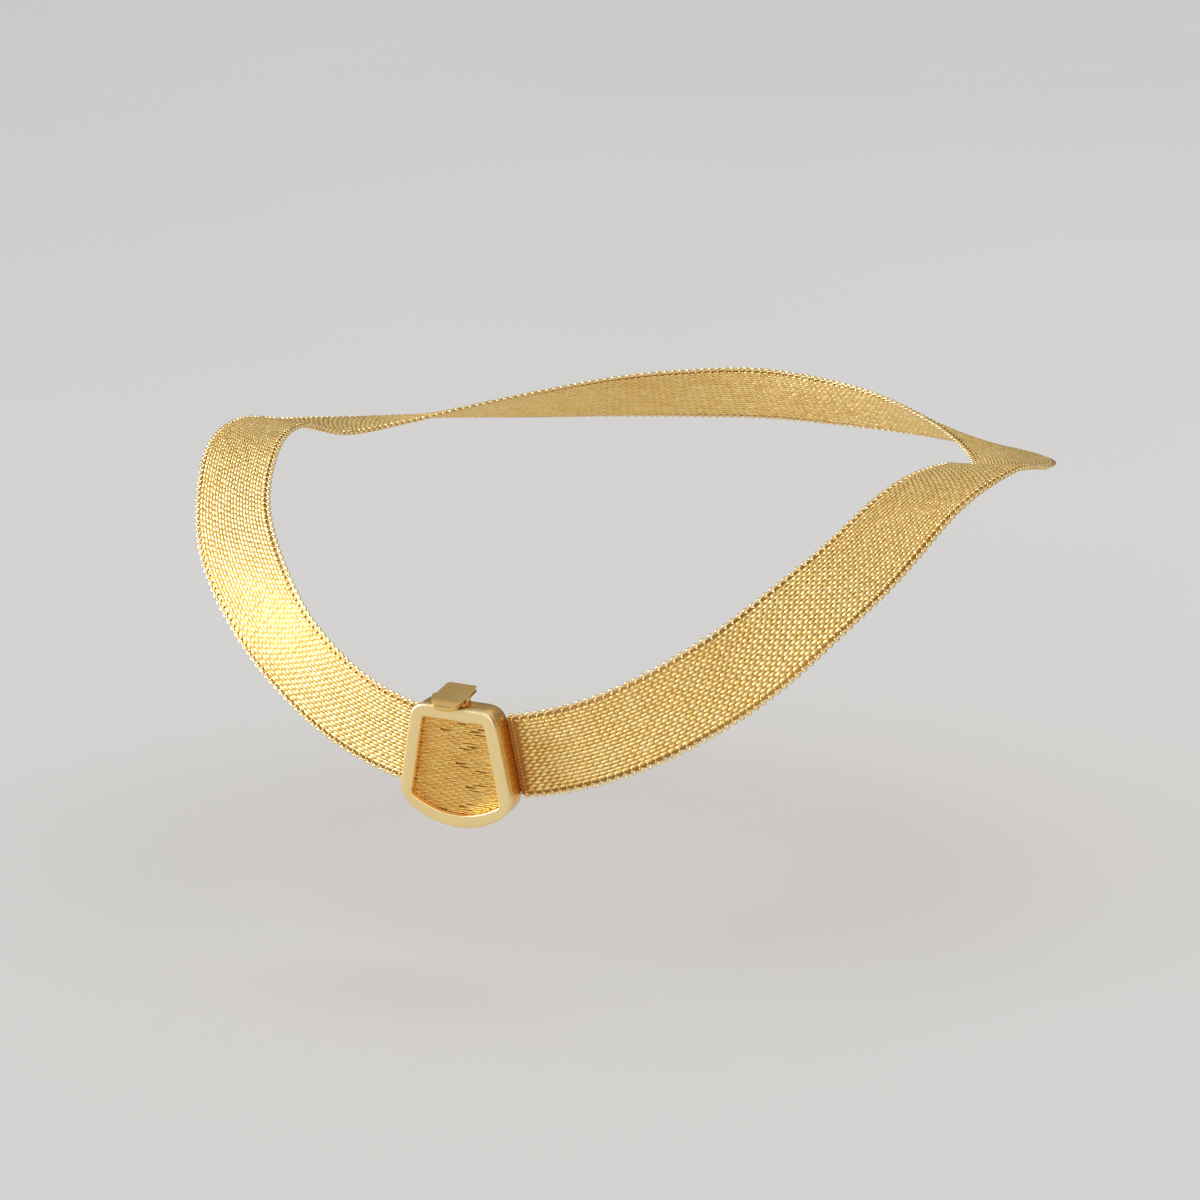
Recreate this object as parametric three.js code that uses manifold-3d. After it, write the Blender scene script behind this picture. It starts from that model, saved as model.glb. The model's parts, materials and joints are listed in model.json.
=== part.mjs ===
// Collar choker necklace: a flat woven band edged with fine chain, closed in front by a framed clasp.
// Millimetres, +Z up, the clasp faces -Y, the origin is the middle of the neck where the collar sits.

import * as THREE from 'three';
import { mergeVertices } from 'three/addons/utils/BufferGeometryUtils.js';
import Module from 'manifold-3d';

// band
const collarWidth = 16;
const bandThickness = 1.4;
const chainWidth = 1.15;
const chainThickness = 0.7;
const pieceGap = 0.3;
const sectionStep = 3; // degrees between two cross-sections
const endAngle = 3; // the band runs this near to the clasp's middle before the clasp's outline trims it

// clasp outline, seen from the front: x to the side, y up
const claspSide = 9.85; // half width at y = 0
const claspFlare = 0.18; // how much wider each side gets per mm down
const claspTop = 9.8;
const claspBottom = 13;
const bottomBow = 0.036; // rise of the bottom edge per mm squared from its middle
const barWidth = 2.4;
const topCorner = 3;
const bottomCorner = 2.8;
const openingCorner = 0.7;

// clasp depths, measured out from the band's mid-plane
const faceDepth = 4;
const faceThickness = 1.2;
const faceBevel = 0.25;
const boxBack = -1;
const boxWall = 0.9;
const boxInset = 0.15;
const padFront = 3;
const padThickness = 1;

// where the clasp sits on the route's front point, and how it hangs, in degrees
const claspSlide = -1.95;
const claspRaise = 0.4;
const claspYaw = -2.5;
const claspPitch = 5;
const claspTurn = -2.8;

// thumb lever, its section drawn in depth (z) and height (y)
const leverCentre = -1.2;
const leverHalfFront = 2.4;
const leverHalfBack = 2.9;
const leverBack = -3;
const leverFront = 5.1;
const leverThickness = 0.75;
const leverRise = 0.75; // how much higher the back end stands
const leverTopFront = 11;
const noseCrown = 0.07; // how far the top swells where it turns down into the lip
const lipBottom = 9.3;
const lipThickness = 0.8;
const lipEase = 0.2; // rounding of the lip's lower front edge
const leverCorner = 0.7;

// hinge
const hingeDepth = 1.7;
const hingeHeight = 10.6;
const barrelRadius = 0.55;
const pinHoleRadius = 0.35;
const pinRadius = 0.2;
const pinFit = 0.1; // how much wider the ears' holes are than the pin, on the radius
const earRadius = 0.6;
const earThickness = 0.7;
const earReach = 2.85; // from the lever's centre to an ear's inner face

// how finely round things are cut, and how far a cutting tool runs past what it cuts
const barSides = 20;
const pinSides = 12;
const chainSides = 8;
const outlineSteps = 8;
const earSteps = 10;
const sectionSteps = 6;
const planSteps = 4;
const bevelSteps = 2;
const mergeDistance = 1e-4;
const cutMargin = 1;
const cutLength = 20;

// The route of the band's centreline. Angles run from the clasp round to the back of the neck, and the
// other half mirrors this one. Lean is how far the band tips over: 0 lies flat outwards, 90 hangs
// straight down.
const routeStep = 15;
const routeNudge = 0.1; // degrees to either side of an angle, between which the route's direction is taken
const route = [
  { angle: 0, radius: 85.5, height: -31.5, lean: 95 },
  { angle: 15, radius: 85, height: -28, lean: 88 },
  { angle: 30, radius: 85, height: -17.5, lean: 69 },
  { angle: 45, radius: 84, height: -2.5, lean: 34 },
  { angle: 60, radius: 79, height: 9, lean: 10 },
  { angle: 75, radius: 75, height: 11, lean: -1 },
  { angle: 90, radius: 72, height: 6.5, lean: -6 },
  { angle: 105, radius: 68.5, height: 4.5, lean: 4 },
  { angle: 120, radius: 64.5, height: 4, lean: 18 },
  { angle: 135, radius: 61.5, height: 4, lean: 31 },
  { angle: 150, radius: 60, height: 4.5, lean: 42 },
  { angle: 165, radius: 59, height: 5, lean: 49 },
  { angle: 180, radius: 58.5, height: 5.5, lean: 52 },
];

const wasm = await Module();
wasm.setup();

const gold = { color: 0xd9a941, metalness: 1 };
const meshGold = new THREE.MeshStandardMaterial({ ...gold, roughness: 0.45 });
const chainGold = new THREE.MeshStandardMaterial({ ...gold, color: 0xcf9f3c, roughness: 0.35 });
const polishedGold = new THREE.MeshStandardMaterial({ ...gold, color: 0xe6c47a, roughness: 0.22 });
const leverGold = new THREE.MeshStandardMaterial({ ...gold, color: 0xdcb565, roughness: 0.28 });

// joins and cuts

function toSolid(geometry) {
  const bare = geometry.clone();
  bare.deleteAttribute('normal');
  bare.deleteAttribute('uv');
  const merged = mergeVertices(bare, mergeDistance);
  return new wasm.Manifold(new wasm.Mesh({
    numProp: 3,
    vertProperties: new Float32Array(merged.attributes.position.array),
    triVerts: new Uint32Array(merged.index.array),
  }));
}

function toGeometry(solid) {
  const mesh = solid.getMesh();
  const geometry = new THREE.BufferGeometry();
  geometry.setAttribute('position', new THREE.BufferAttribute(mesh.vertProperties, 3));
  geometry.setIndex(new THREE.BufferAttribute(mesh.triVerts, 1));
  return geometry;
}

// the collar's route

// A smooth curve through the table's rows, which repeats in mirror image past both ends.
function alongRoute(angle, column) {
  const turned = Math.abs(((angle + 540) % 360) - 180);
  const last = route.length - 1;
  const row = Math.min(Math.floor(turned / routeStep), last - 1);
  const u = turned / routeStep - row;
  const value = (index) => route[index < 0 ? -index : index > last ? 2 * last - index : index][column];
  const [before, from, to, after] = [value(row - 1), value(row), value(row + 1), value(row + 2)];
  return from + 0.5 * u * (to - before
    + u * (2 * before - 5 * from + 4 * to - after
    + u * (3 * from - before - 3 * to + after)));
}

function routePoint(angle) {
  const radians = THREE.MathUtils.degToRad(angle);
  const radius = alongRoute(angle, 'radius');
  const height = alongRoute(angle, 'height');
  return new THREE.Vector3(radius * Math.sin(radians), -radius * Math.cos(radians), height);
}

// Where the band is at an angle: its centre, the way across it to its outer edge,
// and the way out of its face.
function bandFrame(angle) {
  const centre = routePoint(angle);
  const along = routePoint(angle + routeNudge).sub(routePoint(angle - routeNudge)).normalize();
  const level = new THREE.Vector3().crossVectors(along, new THREE.Vector3(0, 0, 1)).normalize();
  const raised = new THREE.Vector3().crossVectors(level, along);
  const lean = THREE.MathUtils.degToRad(alongRoute(angle, 'lean'));
  const across = level.multiplyScalar(Math.cos(lean)).addScaledVector(raised, -Math.sin(lean));
  const out = new THREE.Vector3().crossVectors(across, along);
  return { centre, across, out };
}

// Sweeps a flat section, points of { across, out }, from one side of the clasp round to the other.
function sweepRoute(section) {
  const angles = [];
  for (let angle = endAngle; angle <= 360 - endAngle; angle += sectionStep) {
    angles.push(angle);
  }
  const positions = [];
  for (const angle of angles) {
    const frame = bandFrame(angle);
    for (const point of section) {
      const place = frame.centre.clone();
      place.addScaledVector(frame.across, point.across);
      place.addScaledVector(frame.out, point.out);
      positions.push(place.x, place.y, place.z);
    }
  }
  const sides = section.length;
  const indices = [];
  for (let ring = 0; ring < angles.length - 1; ring++) {
    for (let side = 0; side < sides; side++) {
      const a = ring * sides + side;
      const b = ring * sides + ((side + 1) % sides);
      indices.push(a, a + sides, b, b, a + sides, b + sides);
    }
  }
  const lastRing = (angles.length - 1) * sides;
  for (let side = 1; side < sides - 1; side++) {
    indices.push(0, side, side + 1);
    indices.push(lastRing, lastRing + side + 1, lastRing + side);
  }
  const geometry = new THREE.BufferGeometry();
  geometry.setAttribute('position', new THREE.Float32BufferAttribute(positions, 3));
  geometry.setIndex(indices);
  return geometry;
}

function bandSection() {
  const halfWidth = collarWidth / 2 - chainWidth - pieceGap;
  const halfThickness = bandThickness / 2;
  const rounding = halfThickness / 2;
  return [
    { across: -halfWidth, out: -rounding },
    { across: -halfWidth + rounding, out: -halfThickness },
    { across: halfWidth - rounding, out: -halfThickness },
    { across: halfWidth, out: -rounding },
    { across: halfWidth, out: rounding },
    { across: halfWidth - rounding, out: halfThickness },
    { across: -halfWidth + rounding, out: halfThickness },
    { across: -halfWidth, out: rounding },
  ];
}

function chainSection(middle) {
  return Array.from({ length: chainSides }, (_, side) => {
    const angle = (2 * Math.PI * side) / chainSides;
    return {
      across: middle + (chainWidth / 2) * Math.cos(angle),
      out: (chainThickness / 2) * -Math.sin(angle),
    };
  }).reverse();
}

// clasp outlines

// The clasp's outline drawn in by inset all round: straight top, flared sides, bowed bottom,
// rounded corners.
function claspOutline(inset, topRounding, bottomRounding) {
  const top = claspTop - inset;
  const bottom = claspBottom - inset;
  const side = claspSide - inset * Math.hypot(1, claspFlare);
  const halfAt = (y) => side - claspFlare * y;
  // where a flared side meets the bowed bottom edge
  const a = bottomBow * claspFlare ** 2;
  const b = 2 * bottomBow * side * claspFlare + 1;
  const c = bottomBow * side ** 2 - bottom;
  const cornerY = (b - Math.sqrt(b * b - 4 * a * c)) / (2 * a);
  const bow = (x) => bottomBow * x * x - bottom;
  const bowEnd = halfAt(cornerY) - bottomRounding;
  const shape = new THREE.Shape();
  shape.moveTo(-halfAt(top) + topRounding, top);
  shape.lineTo(halfAt(top) - topRounding, top);
  shape.quadraticCurveTo(halfAt(top), top, halfAt(top - topRounding), top - topRounding);
  shape.lineTo(halfAt(cornerY + bottomRounding), cornerY + bottomRounding);
  shape.quadraticCurveTo(halfAt(cornerY), cornerY, bowEnd, bow(bowEnd));
  shape.quadraticCurveTo(0, 2 * -bottom - bow(bowEnd), -bowEnd, bow(bowEnd));
  const roundingTop = cornerY + bottomRounding;
  shape.quadraticCurveTo(-halfAt(cornerY), cornerY, -halfAt(roundingTop), roundingTop);
  shape.lineTo(-halfAt(top - topRounding), top - topRounding);
  shape.quadraticCurveTo(-halfAt(top), top, -halfAt(top) + topRounding, top);
  return shape;
}

// An extruded shape between two heights, each of its curves cut into this many straight steps.
function slab(shape, from, to, curveSegments = outlineSteps) {
  const depth = to - from;
  const geometry = new THREE.ExtrudeGeometry(shape, { depth, bevelEnabled: false, curveSegments });
  return geometry.translate(0, 0, from);
}

function roundBar(radius, length, sides = barSides) {
  return new THREE.CylinderGeometry(radius, radius, length, sides).rotateZ(Math.PI / 2);
}

function boxOutline(inset) {
  return claspOutline(inset, topCorner - inset / 2, bottomCorner - inset / 2);
}

// clasp pieces, drawn in the clasp's own frame

function buildClaspBox() {
  const boxFront = faceDepth - faceThickness - pieceGap;
  const shell = toSolid(slab(boxOutline(boxInset), boxBack, boxFront));
  const hollow = toSolid(slab(boxOutline(boxInset + boxWall), boxBack + boxWall, boxFront + cutMargin));
  const pinHole = toSolid(onHinge(roundBar(pinRadius + pinFit, cutLength)));
  let box = shell.subtract(hollow);
  for (const side of [-1, 1]) {
    box = box.add(toSolid(hingeEar(leverCentre + side * (earReach + earThickness / 2))));
  }
  return toGeometry(box.subtract(pinHole));
}

// Moves a shape drawn about the origin to the middle of the hinge.
function onHinge(geometry) {
  return geometry.translate(leverCentre, hingeHeight, hingeDepth);
}

// An upright lug with a round head about the hinge pin.
function hingeEar(x) {
  const foot = claspTop - boxInset - boxWall / 2;
  const shape = new THREE.Shape();
  shape.moveTo(-earRadius, foot);
  shape.lineTo(earRadius, foot);
  shape.lineTo(earRadius, hingeHeight);
  shape.absarc(0, hingeHeight, earRadius, 0, Math.PI, false);
  shape.lineTo(-earRadius, foot);
  const ear = slab(shape, -earThickness / 2, earThickness / 2, earSteps);
  return ear.rotateY(Math.PI / 2).translate(x, 0, hingeDepth);
}

function buildClaspFrame() {
  const plate = new THREE.ExtrudeGeometry(claspOutline(faceBevel, topCorner, bottomCorner), {
    depth: faceThickness - 2 * faceBevel,
    bevelEnabled: true,
    bevelThickness: faceBevel,
    bevelSize: faceBevel,
    bevelSegments: bevelSteps,
    curveSegments: outlineSteps,
  });
  plate.translate(0, 0, faceDepth - faceThickness + faceBevel);
  const opening = slab(claspOutline(barWidth, openingCorner, openingCorner), 0, 2 * faceDepth);
  return toGeometry(toSolid(plate).subtract(toSolid(opening)));
}

function buildClaspMesh() {
  const shape = claspOutline(barWidth + pieceGap, openingCorner, openingCorner);
  return slab(shape, padFront - padThickness, padFront);
}

function buildLeverPin() {
  const length = 2 * (earReach + earThickness);
  return onHinge(roundBar(pinRadius, length, pinSides));
}

function buildClaspLever() {
  const lipBack = leverFront - lipThickness;
  const underFront = leverTopFront - leverThickness;
  const section = new THREE.Shape();
  section.moveTo(leverBack, leverTopFront + leverRise);
  section.lineTo(leverBack, underFront + leverRise);
  section.lineTo(lipBack, underFront);
  section.lineTo(lipBack, lipBottom);
  section.lineTo(leverFront - lipThickness / 3, lipBottom);
  section.quadraticCurveTo(leverFront, lipBottom + lipEase, leverFront, lipBottom + lipThickness);
  section.quadraticCurveTo(leverFront, leverTopFront, lipBack, leverTopFront + noseCrown);
  const widest = 2 * (leverHalfBack + cutMargin);
  const bar = slab(section, -widest / 2, widest / 2, sectionSteps);
  bar.rotateY(-Math.PI / 2).translate(leverCentre, 0, 0);
  const barrel = onHinge(roundBar(barrelRadius, 2 * (earReach - pieceGap)));
  const hole = onHinge(roundBar(pinHoleRadius, cutLength));
  const planTop = leverTopFront + leverRise + cutMargin;
  const plan = slab(leverPlan(), lipBottom - cutMargin, planTop, planSteps).rotateX(-Math.PI / 2);
  const lever = toSolid(bar).intersect(toSolid(plan)).add(toSolid(barrel));
  return toGeometry(lever.subtract(toSolid(hole)));
}

// The lever from above, wider at the back, x to the side and y back from the front lip.
function leverPlan() {
  const corners = [
    [leverCentre - leverHalfFront, -leverFront],
    [leverCentre + leverHalfFront, -leverFront],
    [leverCentre + leverHalfBack, -leverBack],
    [leverCentre - leverHalfBack, -leverBack],
  ].map(([x, y]) => new THREE.Vector2(x, y));
  const shape = new THREE.Shape();
  corners.forEach((corner, index) => {
    const before = corners[(index + 3) % 4];
    const after = corners[(index + 1) % 4];
    const start = before.clone().sub(corner).setLength(leverCorner).add(corner);
    const end = after.clone().sub(corner).setLength(leverCorner).add(corner);
    if (index === 0) {
      shape.moveTo(start.x, start.y);
    } else {
      shape.lineTo(start.x, start.y);
    }
    shape.quadraticCurveTo(corner.x, corner.y, end.x, end.y);
  });
  shape.closePath();
  return shape;
}

// assembly

const necklace = new THREE.Group();
const clasp = new THREE.Group();
clasp.position.copy(routePoint(0));
clasp.rotation.order = 'ZXY';
clasp.rotation.set(
  Math.PI / 2 + THREE.MathUtils.degToRad(claspPitch),
  0,
  THREE.MathUtils.degToRad(claspYaw),
);
const claspFace = new THREE.Group();
claspFace.position.set(claspSlide, claspRaise, 0);
claspFace.rotation.z = THREE.MathUtils.degToRad(claspTurn);
clasp.add(claspFace);
necklace.add(clasp);
necklace.updateMatrixWorld(true);

function addPiece(parent, name, geometry, material) {
  const mesh = new THREE.Mesh(geometry, material);
  mesh.name = name;
  parent.add(mesh);
}

// The room that the clasp's box takes out of the band and its chains.
function claspRoom() {
  const room = slab(boxOutline(boxInset - pieceGap), -2 * faceDepth, 2 * faceDepth);
  return toSolid(room.applyMatrix4(claspFace.matrixWorld));
}

function buildRound(section) {
  return toGeometry(toSolid(sweepRoute(section)).subtract(claspRoom()));
}

const chainMiddle = (collarWidth - chainWidth) / 2;
addPiece(necklace, 'mesh_band', buildRound(bandSection()), meshGold);
addPiece(necklace, 'edge_chain_inner', buildRound(chainSection(-chainMiddle)), chainGold);
addPiece(necklace, 'edge_chain_outer', buildRound(chainSection(chainMiddle)), chainGold);
addPiece(claspFace, 'clasp_box', buildClaspBox(), polishedGold);
addPiece(claspFace, 'clasp_frame', buildClaspFrame(), polishedGold);
addPiece(claspFace, 'clasp_mesh', buildClaspMesh(), meshGold);
addPiece(claspFace, 'lever_pin', buildLeverPin(), polishedGold);
addPiece(claspFace, 'clasp_lever', buildClaspLever(), leverGold);

export default necklace;
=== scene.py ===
import bpy
import bmesh
import json
import math
import numpy as np
from mathutils import Matrix, Vector

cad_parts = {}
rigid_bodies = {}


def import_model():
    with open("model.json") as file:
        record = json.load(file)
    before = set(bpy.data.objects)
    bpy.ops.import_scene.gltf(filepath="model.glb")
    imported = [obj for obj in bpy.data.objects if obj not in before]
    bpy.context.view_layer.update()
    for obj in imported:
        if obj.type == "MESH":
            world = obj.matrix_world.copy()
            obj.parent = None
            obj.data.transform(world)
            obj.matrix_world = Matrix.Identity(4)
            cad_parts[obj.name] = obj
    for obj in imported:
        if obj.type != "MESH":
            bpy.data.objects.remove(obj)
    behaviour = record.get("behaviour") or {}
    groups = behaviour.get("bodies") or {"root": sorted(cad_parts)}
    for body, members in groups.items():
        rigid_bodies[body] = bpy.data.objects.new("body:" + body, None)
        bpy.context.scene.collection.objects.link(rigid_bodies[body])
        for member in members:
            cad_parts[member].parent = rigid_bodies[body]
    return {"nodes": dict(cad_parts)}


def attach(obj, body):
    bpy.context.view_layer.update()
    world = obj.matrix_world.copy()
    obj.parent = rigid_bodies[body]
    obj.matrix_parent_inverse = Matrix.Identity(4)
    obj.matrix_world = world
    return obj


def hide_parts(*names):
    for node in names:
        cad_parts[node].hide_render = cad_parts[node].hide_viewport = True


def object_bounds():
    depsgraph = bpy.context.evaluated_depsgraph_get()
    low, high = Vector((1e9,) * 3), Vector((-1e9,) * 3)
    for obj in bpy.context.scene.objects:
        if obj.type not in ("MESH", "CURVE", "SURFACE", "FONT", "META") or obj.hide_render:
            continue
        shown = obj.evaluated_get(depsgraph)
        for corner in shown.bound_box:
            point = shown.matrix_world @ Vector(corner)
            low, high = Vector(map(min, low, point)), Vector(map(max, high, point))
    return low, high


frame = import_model()
cadBounds = [list(corner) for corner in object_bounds()]
scene = bpy.context.scene
mm = 0.001
print("frame loaded:", sorted(frame["nodes"]))


class Wire:
    # wraps a socket so that sums and products of sockets read as plain arithmetic

    def __init__(self, tree, socket):
        self.tree = tree
        self.socket = socket

    def math(self, operation, other=None, flip=False):
        node = self.tree.nodes.new("ShaderNodeMath")
        node.operation = operation
        pair = [self, other] if not flip else [other, self]
        for slot, value in enumerate(pair):
            if isinstance(value, Wire):
                self.tree.links.new(value.socket, node.inputs[slot])
            elif value is not None:
                node.inputs[slot].default_value = value
        return Wire(self.tree, node.outputs[0])

    def __add__(self, other):
        return self.math("ADD", other)

    def __sub__(self, other):
        return self.math("SUBTRACT", other)

    def __rsub__(self, other):
        return self.math("SUBTRACT", other, flip=True)

    def __mul__(self, other):
        return self.math("MULTIPLY", other)

    __radd__ = __add__
    __rmul__ = __mul__


class Tree:
    # a node tree with one method that makes any node

    def __init__(self, tree):
        self.tree = tree

    def make(self, kind, settings=None, output=0, **inputs):
        node = self.tree.nodes.new(kind)
        for name, value in (settings or {}).items():
            if name == "stops":
                self.setStops(node, value)
            else:
                setattr(node, name, value)
        for name, value in inputs.items():
            self.plug(node, name, value)
        return Wire(self.tree, node.outputs[output])

    def plug(self, node, name, value):
        # a socket is named by its label without spaces, or by s and its number
        if name[0] == "s" and name[1:].isdigit():
            socket = node.inputs[int(name[1:])]
        else:
            wanted = name.lower()
            socket = next(s for s in node.inputs if s.name.replace(" ", "").lower() == wanted and s.enabled)
        if isinstance(value, Wire):
            self.tree.links.new(value.socket, socket)
        else:
            socket.default_value = value

    def setStops(self, node, stops):
        ramp = node.color_ramp
        while len(ramp.elements) < len(stops):
            ramp.elements.new(0.5)
        for element, (place, colour) in zip(ramp.elements, stops):
            element.position = place
            element.color = (*colour, 1)

    def mixColour(self, factor, a, b):
        node = self.tree.nodes.new("ShaderNodeMix")
        node.data_type = "RGBA"
        for slot, value in ((0, factor), (6, a), (7, b)):
            if isinstance(value, Wire):
                self.tree.links.new(value.socket, node.inputs[slot])
            else:
                node.inputs[slot].default_value = value if slot == 0 else (*value, 1)
        return Wire(self.tree, node.outputs[2])

    def random(self, low, high, seed):
        node = self.tree.nodes.new("FunctionNodeRandomValue")
        node.data_type = "FLOAT"
        for name, value in (("Min", low), ("Max", high), ("Seed", seed)):
            self.plug(node, name, value)
        return Wire(self.tree, next(s for s in node.outputs if s.enabled))

    def attribute(self, name, kind="FLOAT"):
        return self.make("GeometryNodeInputNamedAttribute", {"data_type": kind}, Name=name)


def newMaterial(name, build):
    material = bpy.data.materials.new(name)
    material.use_nodes = True
    material.node_tree.nodes.clear()
    tree = Tree(material.node_tree)
    shader = tree.tree.nodes.new("ShaderNodeBsdfPrincipled")
    build(tree, shader)
    output = tree.tree.nodes.new("ShaderNodeOutputMaterial")
    tree.tree.links.new(shader.outputs[0], output.inputs[0])
    return material


# The collar's route, the same as the part's own: degrees round from the clasp, radius and height in mm,
# and lean in degrees, where 0 lies flat outwards and 90 hangs straight down.
routeStep = 15
routeRows = [
    (0, 85.5, -31.5, 95),
    (15, 85, -28, 88),
    (30, 85, -17.5, 69),
    (45, 84, -2.5, 34),
    (60, 79, 9, 10),
    (75, 75, 11, -1),
    (90, 72, 6.5, -6),
    (105, 68.5, 4.5, 4),
    (120, 64.5, 4, 18),
    (135, 61.5, 4, 31),
    (150, 60, 4.5, 42),
    (165, 59, 5, 49),
    (180, 58.5, 5.5, 52),
]


def alongRoute(angles, column):
    values = np.array([row[column] for row in routeRows])
    last = len(values) - 1
    turned = np.abs((angles + 540) % 360 - 180)
    row = np.minimum((turned // routeStep).astype(int), last - 1)
    u = turned / routeStep - row
    before = values[np.abs(row - 1)]
    start = values[row]
    stop = values[row + 1]
    after = values[np.where(row + 2 > last, 2 * last - row - 2, row + 2)]
    third = 3 * start - before - 3 * stop + after
    second = 2 * before - 5 * start + 4 * stop - after
    return start + 0.5 * u * (stop - before + u * (second + u * third))


def routePoints(angles):
    turn = np.radians(angles)
    radius = alongRoute(angles, 1)
    return np.stack([radius * np.sin(turn), -radius * np.cos(turn), alongRoute(angles, 2)], 1) * mm


def unit(vectors):
    return vectors / np.linalg.norm(vectors, axis=-1, keepdims=True)


def bandFrames(angles):
    # centre, then the ways along, across to the outer edge, and out of the band's face
    centre = routePoints(angles)
    along = unit(routePoints(angles + 0.1) - routePoints(angles - 0.1))
    level = unit(np.cross(along, [0, 0, 1]))
    raised = np.cross(level, along)
    lean = np.radians(alongRoute(angles, 3))[:, None]
    across = np.cos(lean) * level - np.sin(lean) * raised
    return centre, along, across, np.cross(across, along)


def acrossPoints(angles, across):
    # points on the band's mid-plane, a distance in mm across from its centreline
    centre, _, side, _ = bandFrames(angles)
    return centre + side * across * mm


measureSteps = 2881  # how finely a line along the band is measured


def anglesAlong(across, count, first, last):
    # angles evenly spaced in length along the line that runs at this distance across the band
    fine = np.linspace(first, last, measureSteps)
    steps = np.linalg.norm(np.diff(acrossPoints(fine, across), axis=0), axis=1)
    length = np.concatenate([[0], np.cumsum(steps)])
    return np.interp(np.linspace(0, length[-1], count), length, fine), length[-1]


clasp = {
    "side": 9.85,  # half width at mid height, mm
    "flare": 0.18,  # how much wider each side gets per mm down
    "top": 9.8,
    "bottom": 13,
    "bow": 0.036,  # rise of the bottom edge per mm squared from its middle
    "yaw": -2.5,
    "pitch": 5,
    "turn": -2.8,
    "slide": -1.95,
    "raise": 0.4,
    "topCorner": 3,
    "bottomCorner": 2.8,
}


def claspPlace():
    front = Matrix.Translation(Vector(routePoints(np.array([0.0]))[0]))
    yaw = Matrix.Rotation(math.radians(clasp["yaw"]), 4, "Z")
    pitch = Matrix.Rotation(math.radians(90 + clasp["pitch"]), 4, "X")
    shift = Matrix.Translation(Vector((clasp["slide"], clasp["raise"], 0)) * mm)
    turn = Matrix.Rotation(math.radians(clasp["turn"]), 4, "Z")
    return front @ yaw @ pitch @ shift @ turn @ Matrix.Scale(mm, 4)


claspMatrix = claspPlace()
intoClasp = np.array(claspMatrix.inverted())


def claspLocal(points):
    # millimetres in the clasp's own frame: x to the side, y up, z out
    return points @ intoClasp[:3, :3].T + intoClasp[:3, 3]


def outsideClasp(places):
    # how far places near the clasp lie outside its side walls, in mm
    local = claspLocal(places)
    return np.abs(local[:, 0]) - clasp["side"] + clasp["flare"] * local[:, 1]


claspSearch = {"degrees": 20, "steps": 2001}  # where and how finely the clasp's walls are looked for


def clearOfClasp(across, gap):
    # the first and last angle at which a line along the band is this far outside the clasp's walls
    ends = []
    for start in (0, 360):
        angles = np.linspace(start, abs(start - claspSearch["degrees"]), claspSearch["steps"])
        ends.append(angles[np.argmax(outsideClasp(acrossPoints(angles, across)) > gap)])
    return ends


def claspOutline(inset, topRounding, bottomRounding, fine=7):
    # the clasp's outline drawn in by inset: straight top, flared sides, bowed bottom, rounded corners
    top = clasp["top"] - inset
    bottom = clasp["bottom"] - inset
    flare = clasp["flare"]
    bow = clasp["bow"]
    side = clasp["side"] - inset * math.hypot(1, flare)
    a = bow * flare ** 2
    b = 2 * bow * side * flare + 1
    cornerY = (b - math.sqrt(b * b - 4 * a * (bow * side ** 2 - bottom))) / (2 * a)
    bowEnd = side - flare * cornerY - bottomRounding
    bowY = bow * bowEnd ** 2 - bottom
    bowRight = np.array([bowEnd, bowY])
    bowLeft = np.array([-bowEnd, bowY])
    bowHandle = np.array([0, -2 * bottom - bowY])

    def onSide(y):
        return np.array([side - flare * y, y])

    def curve(start, handle, stop, t):
        return (1 - t) ** 2 * start + 2 * t * (1 - t) * handle + t * t * stop

    topCorner = onSide(top)
    bottomCorner = onSide(cornerY)
    half = [np.array([0.0, top])]
    half += [curve(topCorner - [topRounding, 0], topCorner, onSide(top - topRounding), t)
             for t in np.linspace(0, 1, fine)]
    half += [onSide(y) for y in np.linspace(top - topRounding, cornerY + bottomRounding, fine)[1:-1]]
    half += [curve(onSide(cornerY + bottomRounding), bottomCorner, bowRight, t)
             for t in np.linspace(0, 1, fine)]
    half += [curve(bowRight, bowHandle, bowLeft, t) for t in np.linspace(0, 0.5, fine)[1:]]
    other = [point * [-1, 1] for point in half[-2:0:-1]]
    return np.array(half + other)


# finishes
grainDepth = 0.00002  # metres


def goldTone(tree, shader, colours, roughness, grain, toneShare):
    # gold whose colour and polish change from strand to strand, over a slow cloud, with fine grain, and
    # painted shade that a point attribute mixes in
    place = tree.make("ShaderNodeTexCoord", output=3)
    tone = tree.make("ShaderNodeAttribute", {"attribute_name": "tone"}, output=2)
    near = tree.make("ShaderNodeAttribute", {"attribute_name": "near"}, output=2)
    cloud = tree.make("ShaderNodeTexNoise", Vector=place, Scale=110.0, Detail=3.0)
    speck = tree.make("ShaderNodeTexNoise", Vector=place, Scale=grain, Detail=2.0)
    blend = tone * toneShare + cloud * (1 - toneShare)
    colour = tree.mixColour(blend, colours["deep"], colours["light"])
    # painted shade: the base colour is pulled towards the shaded colour as far as the points ask
    tree.plug(shader, "BaseColor", tree.mixColour(near, colour, colours["shaded"]))
    tree.plug(shader, "Roughness", speck * 0.14 + tone * 0.08 + (roughness - 0.11))
    tree.plug(shader, "Normal", tree.make("ShaderNodeBump", Height=speck, Strength=0.2, Distance=grainDepth))
    shader.inputs["Metallic"].default_value = 1.0


# each shaded colour is painted shade, mixed in beside the clasp's walls and in the gaps between parts
wovenColours = {"deep": (0.94, 0.60, 0.17), "light": (1.0, 0.77, 0.33), "shaded": (0.55, 0.16, 0.03)}
padColours = {"deep": (0.93, 0.56, 0.14), "light": (1.0, 0.72, 0.26), "shaded": (0.80, 0.40, 0.09)}
chainColours = {"deep": (0.94, 0.62, 0.20), "light": (1.0, 0.82, 0.44), "shaded": (0.60, 0.24, 0.06)}
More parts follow.
